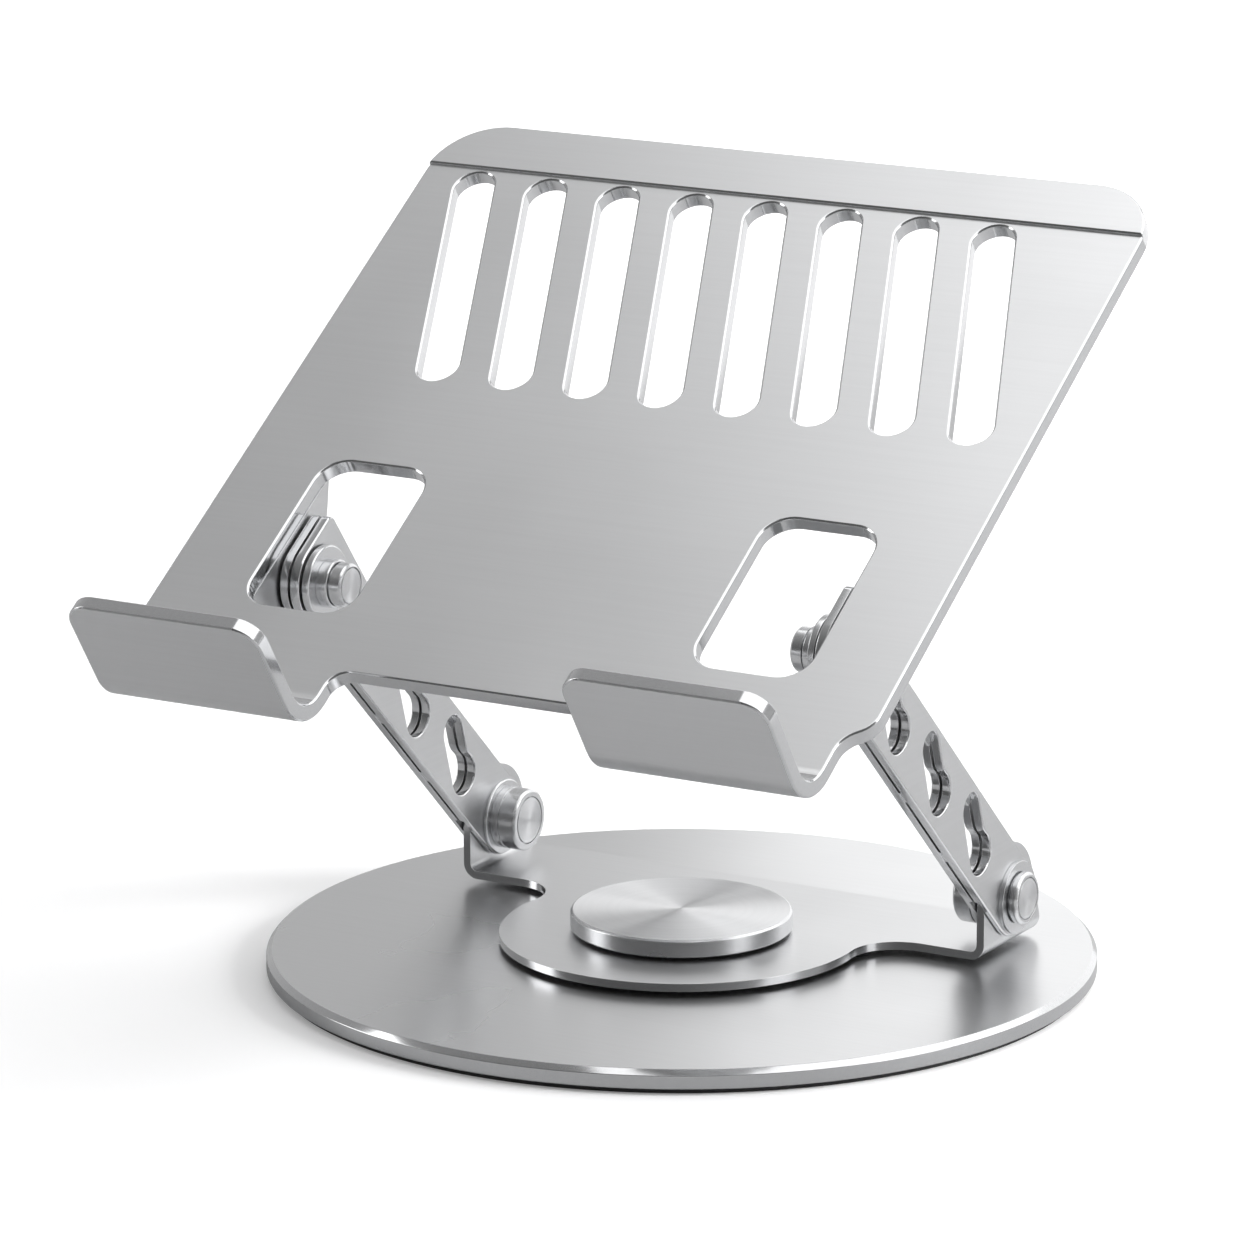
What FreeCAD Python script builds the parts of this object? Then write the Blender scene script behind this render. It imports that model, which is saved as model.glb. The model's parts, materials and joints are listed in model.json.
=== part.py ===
import FreeCAD, Part
import math
import os

from FreeCAD import Vector

# Folding laptop stand: a round base, a bracket that turns on it, two folding arms and a tilting tray.
# Millimetres. X is to the right, Y to the back and Z up. The origin is the centre of the base's
# underside, on the surface that the stand rests on. Pieces come in pairs: each one is drawn for the
# right-hand side, where X is positive, and mirrored for the left.

# Pose in which the stand is drawn, in degrees above level
arm_rise = 43.3
tray_tilt = 33.3

# Clearances
running_fit = 0.05
loose_fit = 0.3

# Base
base_radius = 110.0
base_thickness = 5.1
base_chamfer = 1.4
pad_thickness = 1.5
pad_inset = 1.7

# Pivot at the centre of the base
boss_radius = 11.0
lower_slip_radius = 43.0
lower_slip_thickness = 1.2
upper_slip_radius = 25.0
upper_slip_thickness = 0.6
slip_play = 0.1
cap_radius = 29.5
cap_height = 5.2
cap_bevel = 0.6
pivot_screw_count = 3
pivot_screw_circle = 6.5
pivot_screw_radius = 2.0
pivot_screw_head_radius = 3.6
pivot_screw_head_height = 2.2
pivot_screw_grip = 5.4

# Bracket, bent from one sheet
bracket_sheet = 2.2
lobe_radius = 48.4
neck_fillet = 13.0
strip_front = 19.8
strip_back = 52.5
bend_radius = 2.0

# Lower hinge
lower_hinge_back = 34.1
lower_hinge_height = 22.2
ear_tip_radius = 14.3

# Arms, two plates each with a narrow gap between them
arm_offset = 78.5
arm_length = 125.1
arm_half_width = 10.6
plate_thickness = 2.5
arm_gap = 0.8
edge_chamfer = 0.35
pocket_clearance = 0.9
head_flat_angle = 13.3
head_flat_length = 14.5
head_nose_radius = 2.5
head_taper_length = 31.0
head_taper_radius = 8.0
spacer_count = 3
spacer_start = 36.8
spacer_pitch = 31.2
spacer_length = 5.0
spacer_width = 4.0
spacer_inset = 0.2

# Lightening slots in the arms: a narrow upper end and a wider toe at the lower end
slot_count = 3
slot_pitch = 31.8
toe_along = 26.2
toe_across = -1.65
toe_radius = 5.7
instep_along = 39.1
instep_across = 4.2
instep_radius = 4.5
ankle_fillet = 6.0

# Lower hinge hardware
lower_bolt_radius = 4.0
friction_washer_radius = 8.6
friction_washer_thickness = 0.3
lower_head_radius = 7.0
lower_head_height = 2.1
lower_outer_washer_radius = 9.7
lower_outer_washer_thickness = 1.3
lower_inner_washer_radius = 10.4
lower_inner_washer_thickness = 1.0
hub_radius = 8.5
hub_length = 2.6
hub_groove = 0.3
lower_nut_length = 5.0
lower_trim_radius = 6.3
lower_head_trim_radius = 5.4

# Upper hinge hardware
upper_bolt_radius = 3.5
upper_head_radius = 7.0
upper_head_height = 2.2
upper_outer_washer_radius = 9.0
upper_outer_washer_thickness = 1.2
ear_washer_radius = 8.6
ear_washer_thickness = 0.6
gap_ring_radius = 7.0
thin_washer_radius = 8.4
thin_washer_thickness = 0.6
large_washer_radius = 9.8
large_washer_thickness = 2.0
sleeve_radius = 6.4
sleeve_length = 3.2
upper_nut_radius = 5.8
upper_nut_length = 3.8
upper_trim_radius = 4.6
upper_head_trim_radius = 5.4

# Shared by every bolt head and cap nut
neck_length = 0.45
neck_step = 0.9
hardware_chamfer = 0.7
trim_thickness = 0.9
trim_groove = 0.35
nut_end_wall = 1.2

# Tray, measured from the upper hinge: u up the tray, v out of its front face
tray_stand_off = 16.4
tray_sheet = 4.4
tray_half_width = 107.5
tray_top = 155.9
tray_bottom = -42.2
tray_top_radius = 19.0
band_height = 16.6
band_rise = 0.9
tray_chamfer = 0.45

# Tray hooks
hook_inner = 43.2
hook_set_in = 7.0
hook_shoulder_start = -35.5
hook_shoulder_drop = 4.5
hook_reach = 63.7
hook_bend_radius = 8.5
lip_height = 35.6
lip_corner_radius = 7.2
hook_inner_fillet = 5.5

# Tray windows and slots
window_width = 32.4
window_low = -23.9
window_high = 28.4
window_radius = 8.0
vent_count = 8
vent_pitch = 22.45
vent_radius = 5.85
vent_low = 60.1
vent_margin = 1.2
vent_lean = 18.7

# Tray ears
tray_ear_thickness = 3.0
tray_ear_tip_radius = 12.0
tray_ear_low = -26.0
tray_ear_high = 26.0

# Levels up the pivot
base_top = pad_thickness + base_thickness
bracket_bottom = base_top + lower_slip_thickness
bracket_top = bracket_bottom + bracket_sheet
cap_bottom = bracket_top + upper_slip_thickness + slip_play
cap_top = cap_bottom + cap_height

# Places across an arm, on the right-hand side
plate_inner_face = arm_offset - arm_gap / 2 - plate_thickness
gap_inner_face = arm_offset - arm_gap / 2
gap_outer_face = arm_offset + arm_gap / 2
plate_outer_face = arm_offset + arm_gap / 2 + plate_thickness
ear_inner_face = arm_offset - bracket_sheet / 2
ear_outer_face = arm_offset + bracket_sheet / 2
pocket_inner_face = ear_inner_face - friction_washer_thickness
pocket_outer_face = ear_outer_face + friction_washer_thickness
tray_ear_inner_face = plate_outer_face + ear_washer_thickness
tray_ear_outer_face = tray_ear_inner_face + tray_ear_thickness

# Outer edge of the hooks, and the windows between the ears
hook_outer = tray_half_width - hook_set_in
window_outer = tray_ear_inner_face
window_inner = window_outer - window_width

# Hinge centres in the Y-Z plane
rise = math.radians(arm_rise)
tilt = math.radians(tray_tilt)
lower_hinge = Vector(0, lower_hinge_back, lower_hinge_height)
along_arm = Vector(0, -math.cos(rise), math.sin(rise))
across_arm = Vector(0, math.sin(rise), math.cos(rise))
upper_hinge = lower_hinge + along_arm * arm_length
up_tray = Vector(0, math.cos(tilt), math.sin(tilt))
out_of_tray = Vector(0, -math.sin(tilt), math.cos(tilt))
across = Vector(1, 0, 0)


def on_arm(s, t, x):
    """A point s along the arm from the lower hinge, t across it, at the given X."""
    return lower_hinge + along_arm * s + across_arm * t + across * x


def on_tray(x, u, v):
    """A point on the tray: u up from the upper hinge, v out of the front face."""
    return upper_hinge + across * x + up_tray * u + out_of_tray * (tray_stand_off + v)


def rounded_face(corners, place):
    """A flat face from corners (a, b, radius), each rounded by an arc; place maps (a, b) to space."""
    arcs = {}
    starts = []
    ends = []
    count = len(corners)
    for i in range(count):
        a, b, radius = corners[i]
        here = Vector(a, b, 0)
        before = Vector(corners[i - 1][0], corners[i - 1][1], 0) - here
        after = Vector(corners[(i + 1) % count][0], corners[(i + 1) % count][1], 0) - here
        before.normalize()
        after.normalize()
        if radius <= 0:
            starts.append(here)
            ends.append(here)
            continue
        half = before.getAngle(after) / 2
        reach = radius / math.tan(half)
        middle = before + after
        middle.normalize()
        centre = here + middle * (radius / math.sin(half))
        starts.append(here + before * reach)
        ends.append(here + after * reach)
        first, second, third = [place(p.x, p.y) for p in (starts[-1], centre - middle * radius, ends[-1])]
        arcs[i] = Part.Arc(first, second, third).toShape()
    outline = []
    for i in range(count):
        if i in arcs:
            outline.append(arcs[i])
        p = ends[i]
        q = starts[(i + 1) % count]
        if p.distanceToPoint(q) > 1e-4:
            outline.append(Part.LineSegment(place(p.x, p.y), place(q.x, q.y)).toShape())
    return Part.Face(Part.Wire(Part.__sortEdges__(outline)))


def round_face(radius, centre, normal):
    return Part.Face(Part.Wire(Part.makeCircle(radius, centre, normal)))


def bar_face(start, end, radius, place):
    """A face with parallel sides and round ends, from one end's centre to the other."""
    run = Vector(end[0] - start[0], end[1] - start[1], 0)
    run.normalize()
    run = run * radius
    side = Vector(-run.y, run.x, 0)
    low = Vector(start[0], start[1], 0) - run
    high = Vector(end[0], end[1], 0) + run
    corners = [low - side, high - side, high + side, low + side]
    return rounded_face([(corner.x, corner.y, radius) for corner in corners], place)


def turned(profile, centre):
    """A solid turned about the X axis through centre; profile holds (x, radius) points."""
    points = [Vector(x, centre.y, centre.z + radius) for x, radius in profile]
    face = Part.Face(Part.makePolygon(points + points[:1]))
    return face.revolve(centre, across, 360)


def washer(inner_x, outer_x, radius, bore, centre):
    """A plain ring about a hinge between two X stations."""
    return turned([(inner_x, bore), (inner_x, radius), (outer_x, radius), (outer_x, bore)], centre)


def bevelled_washer(inner_x, outer_x, radius, bore, centre):
    """A ring whose inboard rim is chamfered."""
    return turned([(inner_x, bore), (inner_x, radius - edge_chamfer), (inner_x + edge_chamfer, radius),
                   (outer_x, radius), (outer_x, bore)], centre)


def upright(radius, bottom, top, x=0.0, y=0.0):
    return Part.makeCylinder(radius, top - bottom, Vector(x, y, bottom))


def chamfered(shape, size, wanted):
    """The shape with a chamfer on every edge that passes the test."""
    edges = [edge for edge in shape.Edges if wanted(edge)]
    return shape.makeChamfer(size, edges)


def edge_points(edge):
    first, last = edge.ParameterRange
    return [edge.valueAt(first + (last - first) * share) for share in (0.0, 0.25, 0.5, 0.75, 1.0)]


def lies_at(edge, origin, normal):
    """True if the whole edge lies in the plane through origin with this normal."""
    return all(abs((point - origin).dot(normal)) < 1e-4 for point in edge_points(edge))


def base_plate():
    plate = upright(base_radius, pad_thickness, base_top)
    rim = [edge for edge in plate.Edges if lies_at(edge, Vector(0, 0, base_top), Vector(0, 0, 1))]
    plate = plate.makeChamfer(base_chamfer, rim)
    for x, y in pivot_screw_places():
        plate = plate.cut(upright(pivot_screw_radius + loose_fit, 0, base_top + 1, x, y))
        head_room = pivot_screw_head_height + loose_fit
        plate = plate.cut(upright(pivot_screw_head_radius + loose_fit, 0, pad_thickness + head_room, x, y))
    return plate


def base_rubber_pad():
    """The anti-slip sheet glued under the base, over the pivot's screws."""
    return upright(base_radius - pad_inset, 0, pad_thickness)


def pivot_screw_places():
    turn = 2 * math.pi / pivot_screw_count
    return [(pivot_screw_circle * math.cos(turn * i), pivot_screw_circle * math.sin(turn * i))
            for i in range(pivot_screw_count)]


def pivot_screws():
    screws = []
    seat = pad_thickness + pivot_screw_head_height + loose_fit
    for x, y in pivot_screw_places():
        head = upright(pivot_screw_head_radius, seat - pivot_screw_head_height, seat, x, y)
        shank = upright(pivot_screw_radius, seat, base_top + pivot_screw_grip, x, y)
        screws.append(head.fuse(shank).removeSplitter())
    return screws


def centre_cap():
    disc = upright(cap_radius, cap_bottom, cap_top)
    disc = disc.makeChamfer(cap_bevel, [edge for edge in disc.Edges if edge.Closed])
    cap = disc.fuse(upright(boss_radius, base_top, cap_bottom + cap_bevel)).removeSplitter()
    for x, y in pivot_screw_places():
        hole_top = base_top + pivot_screw_grip + loose_fit
        cap = cap.cut(upright(pivot_screw_radius + running_fit, base_top - 1, hole_top, x, y))
    return cap


def slip_ring(radius, bottom, thickness):
    bore = boss_radius + loose_fit
    top = bottom + thickness
    return upright(radius, bottom, top).cut(upright(bore, bottom - 1, top + 1))


def ear_tangent():
    """Where the ear's slanted back edge leaves its round tip, as (y, z)."""
    corner_y = strip_back - lower_hinge_back
    corner_z = bracket_bottom + bracket_sheet + bend_radius - lower_hinge_height
    distance = math.hypot(corner_y, corner_z)
    angle = math.atan2(corner_z, corner_y) + math.acos(ear_tip_radius / distance)
    return (lower_hinge_back + ear_tip_radius * math.cos(angle),
            lower_hinge_height + ear_tip_radius * math.sin(angle))


def ear_outline(bottom):
    """The bracket seen from the side: upright front edge, round tip, slanted back edge."""
    tip_y, tip_z = ear_tangent()
    front = lower_hinge_back - ear_tip_radius
    top = lower_hinge_height + ear_tip_radius
    knee_z = bracket_bottom + bracket_sheet + bend_radius
    run_y = tip_y - strip_back
    run_z = tip_z - knee_z
    peak_y = strip_back + run_y * (top - knee_z) / run_z
    return [(front, bottom, 0), (strip_back, bottom, 0), (strip_back, knee_z, 0),
            (peak_y, top, ear_tip_radius), (front, top, ear_tip_radius)]


def bracket_plate(strip_end):
    """The flat of the bracket: the round lobe and the strip behind it, with a fillet in each neck."""
    strip = Part.makeBox(2 * strip_end, strip_back - strip_front, bracket_sheet,
                         Vector(-strip_end, strip_front, bracket_bottom))
    plate = upright(lobe_radius, bracket_bottom, bracket_top).fuse(strip).removeSplitter()
    meet = math.sqrt(lobe_radius ** 2 - strip_front ** 2)
    corners = [edge for edge in plate.Edges
               if all(abs(abs(point.x) - meet) < 1e-3 and abs(point.y - strip_front) < 1e-3
                      for point in edge_points(edge))]
    return plate.makeFillet(neck_fillet, corners)


def bracket_ear(strip_end):
    """The right-hand ear: the bend at the end of the strip and the upright wall above it."""
    bent = bracket_sheet + bend_radius
    width = strip_back - strip_front
    bend_centre = Vector(strip_end, strip_front, bracket_bottom + bent)
    outer = Part.makeCylinder(bent, width, bend_centre, Vector(0, 1, 0))
    inner = Part.makeCylinder(bend_radius, width, bend_centre, Vector(0, 1, 0))
    quarter = Part.makeBox(bent, width, bent, Vector(strip_end, strip_front, bracket_bottom))
    wall_height = lower_hinge_height + ear_tip_radius - bracket_bottom - bent
    wall = Part.makeBox(bracket_sheet, width, wall_height,
                        Vector(ear_inner_face, strip_front, bracket_bottom + bent))
    ear = outer.cut(inner).common(quarter).fuse(wall)
    outline = rounded_face(ear_outline(bracket_bottom), lambda y, z: Vector(0, y, z))
    return ear.common(outline.extrude(across * (ear_outer_face + 1)))


def swivel_bracket():
    strip_end = ear_outer_face - bracket_sheet - bend_radius
    ear = bracket_ear(strip_end)
    solid = bracket_plate(strip_end).fuse([ear, ear.mirror(Vector(0, 0, 0), across)]).removeSplitter()
    solid = solid.cut(upright(boss_radius + running_fit, bracket_bottom - 1, bracket_top + 1))
    bore = Part.makeCylinder(lower_bolt_radius + running_fit, 2 * ear_outer_face + 4,
                             lower_hinge - across * (ear_outer_face + 2), across)
    return solid.cut(bore)


def arm_corners():
    """The outline of an arm plate: round lower end, and a head with a flat and a nose."""
    w = arm_half_width
    flat = math.radians(head_flat_angle)
    end_along = arm_length + w * (1 + math.sin(flat)) / math.cos(flat)
    nose_along = arm_length + w * math.cos(flat) - head_flat_length * math.sin(flat)
    nose_across = w * math.sin(flat) + head_flat_length * math.cos(flat)
    return [(-w, -w, w), (end_along, -w, w), (nose_along, nose_across, head_nose_radius),
            (arm_length - head_taper_length, w, head_taper_radius), (-w, w, w)]


def arm_slots(start_x, depth):
    """Cutters for the arm's slots, each a round toe with a narrower bar leaning out of it."""
    lean = math.atan2(instep_across - toe_across, instep_along - toe_along)
    shift = toe_radius - instep_radius
    cutters = []
    for i in range(slot_count):
        step = i * slot_pitch
        heel = (toe_along + step + shift * math.sin(lean), toe_across - shift * math.cos(lean))
        instep = (instep_along + step, instep_across)
        bar = bar_face(heel, instep, instep_radius, lambda s, t: on_arm(s, t, start_x))
        toe_centre = on_arm(toe_along + step, toe_across, start_x)
        toe = round_face(toe_radius, toe_centre, across)
        cutter = bar.extrude(across * depth).fuse(toe.extrude(across * depth)).removeSplitter()
        upwards = on_arm(instep[0], instep[1], start_x) - toe_centre
        ankle = [edge for edge in cutter.Edges if is_ankle(edge, toe_centre, upwards)]
        cutters.append(cutter.makeFillet(ankle_fillet, ankle))
    return cutters


def is_ankle(edge, toe_centre, upwards):
    """True for the straight edge across the plate where a slot's bar meets the top of its toe."""
    place = edge.CenterOfMass - toe_centre
    place.x = 0
    is_across = abs(abs(edge.tangentAt(edge.FirstParameter).x) - 1) < 1e-6
    on_toe = abs(place.Length - toe_radius) < 1e-3
    leans_back = place.dot(upwards.cross(across)) > 0.3 * toe_radius * upwards.Length
    return is_across and on_toe and place.dot(upwards) > 0 and leans_back


def arm_plate(inner_x, outer_x, pocket_low, pocket_high, shown_x):
    """One plate of an arm. Its relief for the bracket's ear lies between the two pocket stations."""
    face = rounded_face(arm_corners(), lambda s, t: on_arm(s, t, inner_x))
    plate = face.extrude(across * (outer_x - inner_x))
    plate = plate.cut(arm_slots(inner_x - 1, outer_x - inner_x + 2))
    plate = chamfered(plate, edge_chamfer, lambda edge: lies_at(edge, across * shown_x, across))
    for bolt_radius, along in ((lower_bolt_radius, 0), (upper_bolt_radius, arm_length)):
        start = on_arm(along, 0, inner_x - 1)
        hole = Part.makeCylinder(bolt_radius + running_fit, outer_x - inner_x + 2, start, across)
        plate = plate.cut(hole)
    reach = ear_tip_radius + pocket_clearance
    back = 2 * arm_half_width
    corners = [(-back, -back, 0), (reach, -back, 0), (reach, back, 0), (-back, back, 0)]
    pocket = rounded_face(corners, lambda s, t: on_arm(s, t, pocket_low))
    return plate.cut(pocket.extrude(across * (pocket_high - pocket_low)))


def arm_spacers():
    """The blocks that keep the arm's plates apart, in pairs along its two edges."""
    blocks = []
    outer = arm_half_width - spacer_inset
    for i in range(spacer_count):
        start = spacer_start + i * spacer_pitch
        end = start + spacer_length
        for low, high in ((-outer, -outer + spacer_width), (outer - spacer_width, outer)):
            corners = [(start, low, 0), (end, low, 0), (end, high, 0), (start, high, 0)]
            face = rounded_face(corners, lambda s, t: on_arm(s, t, gap_inner_face))
            blocks.append(face.extrude(across * arm_gap))
    return blocks


def bolt(seat_x, head_radius, head_height, shaft_radius, shaft_end_x, trim_radius, centre):
    """A bolt whose head faces outboard, with a necked head and a recess for its trim disc."""
    neck_x = seat_x + neck_length
    top_x = neck_x + head_height
    recess_x = top_x - trim_thickness
    profile = [(shaft_end_x, 0), (shaft_end_x, shaft_radius), (seat_x, shaft_radius),
               (seat_x, head_radius - neck_step), (neck_x, head_radius - neck_step), (neck_x, head_radius),
               (top_x - hardware_chamfer, head_radius), (top_x, head_radius - hardware_chamfer),
               (top_x, trim_radius + trim_groove), (recess_x, trim_radius + trim_groove), (recess_x, 0)]
    return turned(profile, centre)


def cap_nut(seat_x, radius, length, shaft_radius, shaft_end_x, trim_radius, centre, neck):
    """A closed nut facing inboard: its seat is outboard, and its end face holds a trim disc."""
    end_x = seat_x - length
    recess_x = end_x + trim_thickness
    hole_x = shaft_end_x - loose_fit
    bore = shaft_radius + running_fit
    profile = [(seat_x, bore), (seat_x, radius - neck_step), (seat_x - neck, radius - neck_step),
               (seat_x - neck, radius), (end_x + hardware_chamfer, radius),
               (end_x, radius - hardware_chamfer), (end_x, trim_radius + trim_groove),
               (recess_x, trim_radius + trim_groove), (recess_x, 0), (hole_x, 0), (hole_x, bore)]
    return turned(profile, centre)


def trim_disc(back_x, front_x, radius, centre):
    return turned([(back_x, 0), (back_x, radius), (front_x, radius), (front_x, 0)], centre)


def lower_hinge_parts():
    """The hardware on the right-hand arm's lower end, from outboard to inboard."""
    centre = lower_hinge
    bore = lower_bolt_radius + running_fit
    head_seat = plate_outer_face + lower_outer_washer_thickness
    washer_face = plate_inner_face - lower_inner_washer_thickness
    hub_face = washer_face - hub_length
    nut_face = hub_face - lower_nut_length
    shaft_end = nut_face + trim_thickness + nut_end_wall + loose_fit
    groove_face = hub_face + hub_groove
    groove_radius = hub_radius - hub_groove
    hub = turned([(hub_face, bore), (hub_face, groove_radius), (groove_face, groove_radius),
                  (groove_face, hub_radius), (washer_face, hub_radius), (washer_face, bore)], centre)
    head_top = head_seat + neck_length + lower_head_height
    return {
        "bolt": [bolt(head_seat, lower_head_radius, lower_head_height, lower_bolt_radius, shaft_end,
                      lower_head_trim_radius, centre)],
        "outer_washer": [washer(plate_outer_face, head_seat, lower_outer_washer_radius, bore, centre)],
        "friction_washers": [washer(inner, outer, friction_washer_radius, bore, centre)
                             for inner, outer in ((pocket_inner_face, ear_inner_face),
                                                  (ear_outer_face, pocket_outer_face))],
        "inner_washer": [bevelled_washer(washer_face, plate_inner_face, lower_inner_washer_radius,
                                         bore, centre)],
        "hub": [hub],
        "cap_nut": [cap_nut(hub_face, hub_radius, lower_nut_length, lower_bolt_radius, shaft_end,
                            lower_trim_radius, centre, 0.0)],
        "trim_discs": [trim_disc(nut_face, nut_face + trim_thickness, lower_trim_radius, centre),
                       trim_disc(head_top - trim_thickness, head_top, lower_head_trim_radius, centre)],
    }


def upper_hinge_parts():
    """The hardware on the right-hand arm's upper end, from outboard to inboard."""
    centre = upper_hinge
    bore = upper_bolt_radius + running_fit
    head_seat = tray_ear_outer_face + upper_outer_washer_thickness
    thin_face = plate_inner_face - thin_washer_thickness
    large_face = thin_face - large_washer_thickness
    sleeve_face = large_face - sleeve_length
    nut_face = sleeve_face - upper_nut_length
    shaft_end = nut_face + trim_thickness + nut_end_wall + loose_fit
    head_top = head_seat + neck_length + upper_head_height
    return {
        "bolt": [bolt(head_seat, upper_head_radius, upper_head_height, upper_bolt_radius, shaft_end,
                      upper_head_trim_radius, centre)],
        "outer_washer": [washer(tray_ear_outer_face, head_seat, upper_outer_washer_radius, bore, centre)],
        "ear_washer": [washer(plate_outer_face, tray_ear_inner_face, ear_washer_radius, bore, centre)],
        "gap_ring": [washer(gap_inner_face, gap_outer_face, gap_ring_radius, bore, centre)],
        "thin_washer": [washer(thin_face, plate_inner_face, thin_washer_radius, bore, centre)],
        "large_washer": [bevelled_washer(large_face, thin_face, large_washer_radius, bore, centre)],
        "sleeve": [bevelled_washer(sleeve_face, large_face, sleeve_radius, bore, centre)],
        "cap_nut": [cap_nut(sleeve_face, upper_nut_radius, upper_nut_length, upper_bolt_radius, shaft_end,
                            upper_trim_radius, centre, neck_length)],
        "trim_discs": [trim_disc(nut_face, nut_face + trim_thickness, upper_trim_radius, centre),
                       trim_disc(head_top - trim_thickness, head_top, upper_head_trim_radius, centre)],
    }


def tray_sheet_corners():
    """The flat of the tray, with the stubs that run down into the two hooks."""
    bend_start = -hook_reach + tray_sheet + hook_bend_radius
    slope = math.atan2(hook_set_in, hook_shoulder_drop)
    curve = math.hypot(hook_set_in, hook_shoulder_drop) / (2 * math.tan(slope / 2))
    half = [(tray_half_width, tray_top, tray_top_radius),
            (tray_half_width, hook_shoulder_start, curve),
            (hook_outer, hook_shoulder_start - hook_shoulder_drop, curve),
            (hook_outer, bend_start, 0),
            (hook_inner, bend_start, 0),
            (hook_inner, tray_bottom, hook_inner_fillet)]
    return half + [(-x, u, radius) for x, u, radius in reversed(half)]


def tray_hook():
    """The right-hand hook below the flat: a bend forwards and an upright lip, chamfered like the flat."""
    c = tray_chamfer
    outer_radius = tray_sheet + hook_bend_radius
    axis_u = -hook_reach + outer_radius
    profile = [(hook_inner + c, -tray_sheet), (hook_outer - c, -tray_sheet), (hook_outer, -tray_sheet + c),
               (hook_outer, -c), (hook_outer - c, 0), (hook_inner + c, 0),
               (hook_inner, -c), (hook_inner, -tray_sheet + c)]
    section = rounded_face([(x, v, 0) for x, v in profile], lambda x, v: on_tray(x, axis_u, v))
    bend = section.revolve(on_tray(0, axis_u, hook_bend_radius), across, -90)
    corners = [(hook_inner, hook_bend_radius, 0), (hook_outer, hook_bend_radius, 0),
               (hook_outer, lip_height, lip_corner_radius), (hook_inner, lip_height, lip_corner_radius)]
    lip = rounded_face(corners, lambda x, v: on_tray(x, -hook_reach, v)).extrude(up_tray * tray_sheet)
    root = on_tray(0, 0, hook_bend_radius)
    lip = chamfered(lip, c, lambda edge: not lies_at(edge, root, out_of_tray) and
                    (lies_at(edge, on_tray(0, -hook_reach, 0), up_tray)
                     or lies_at(edge, on_tray(0, -hook_reach + tray_sheet, 0), up_tray)))
    return bend.fuse(lip)


def behind_tray(x, u):
    """A point a little behind the sheet, where the cutters through it start."""
    return on_tray(x, u, -tray_sheet - 1)


def tray_vents():
    """The leaning slots below the raised band."""
    lean = math.radians(vent_lean)
    low = vent_low + vent_radius
    high = tray_top - band_height - vent_margin - vent_radius
    drift = (high - low) * math.tan(lean) / 2
    vents = []
    for i in range(vent_count):
        x = (i - (vent_count - 1) / 2) * vent_pitch
        face = bar_face((x + drift, low), (x - drift, high), vent_radius, behind_tray)
        vents.append(face.extrude(out_of_tray * (tray_sheet + 2)))
    return vents


def tray_windows():
    windows = []
    for way in (1, -1):
        inner = way * window_inner
        outer = way * window_outer
        corners = [(inner, window_low, window_radius), (outer, window_low, window_radius),
                   (outer, window_high, window_radius), (inner, window_high, window_radius)]
        face = rounded_face(corners, behind_tray)
        windows.append(face.extrude(out_of_tray * (tray_sheet + 2)))
    return windows


def laptop_tray():
    corners = tray_sheet_corners()
    flat = rounded_face(corners, lambda x, u: on_tray(x, u, -tray_sheet)).extrude(out_of_tray * tray_sheet)
    stub_end = on_tray(0, -hook_reach + tray_sheet + hook_bend_radius, 0)
    flat = flat.cut(tray_vents() + tray_windows())
    flat = chamfered(flat, tray_chamfer, lambda edge: not lies_at(edge, stub_end, up_tray) and
                     (lies_at(edge, on_tray(0, 0, 0), out_of_tray)
                      or lies_at(edge, on_tray(0, 0, -tray_sheet), out_of_tray)))
    band_low = tray_top - band_height
    middle = -tray_sheet / 2
    side = tray_half_width + 1
    above = [(-side, band_low, 0), (side, band_low, 0), (side, tray_top + 1, 0), (-side, tray_top + 1, 0)]
    raised = out_of_tray * (band_rise - middle)
    band = rounded_face(corners, lambda x, u: on_tray(x, u, middle)).extrude(raised)
    band = band.common(rounded_face(above, lambda x, u: on_tray(x, u, middle)).extrude(raised))
    band = chamfered(band, tray_chamfer, lambda edge: lies_at(edge, on_tray(0, 0, band_rise), out_of_tray))
    hook = tray_hook()
    return flat.fuse([band, hook, hook.mirror(Vector(0, 0, 0), across)]).removeSplitter()


def tray_ear():
    """A plate behind the tray: a straight root along the sheet and a round tip about the hinge."""
    drop = tray_stand_off - tray_sheet
    ends = []
    for root, way in ((tray_ear_low, 1), (tray_ear_high, -1)):
        angle = math.atan2(drop, root) + way * math.acos(tray_ear_tip_radius / math.hypot(root, drop))
        ends.append((tray_ear_tip_radius * math.cos(angle),
                     tray_ear_tip_radius * math.sin(angle) - tray_stand_off))
    start_x = tray_ear_inner_face
    root_low = on_tray(start_x, tray_ear_low, -tray_sheet)
    root_high = on_tray(start_x, tray_ear_high, -tray_sheet)
    low_end, high_end = [on_tray(start_x, u, v) for u, v in ends]
    tip = on_tray(start_x, 0, -tray_stand_off - tray_ear_tip_radius)
    edges = [Part.LineSegment(root_low, root_high).toShape(),
             Part.LineSegment(root_high, high_end).toShape(),
             Part.Arc(high_end, tip, low_end).toShape(),
             Part.LineSegment(low_end, root_low).toShape()]
    ear = Part.Face(Part.Wire(edges)).extrude(across * tray_ear_thickness)
    hinge = upper_hinge + across * (start_x - 1)
    bore = Part.makeCylinder(upper_bolt_radius + running_fit, tray_ear_thickness + 2, hinge, across)
    return ear.cut(bore)


def save(name, solids):
    shape = solids[0] if len(solids) == 1 else Part.makeCompound(solids)
    shape.exportStep("parts/" + name + ".step")


def save_pair(name, solids):
    """Write a piece for the right-hand side, and its mirror image for the left."""
    save("right_" + name, solids)
    save("left_" + name, [solid.mirror(Vector(0, 0, 0), across) for solid in solids])


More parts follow.
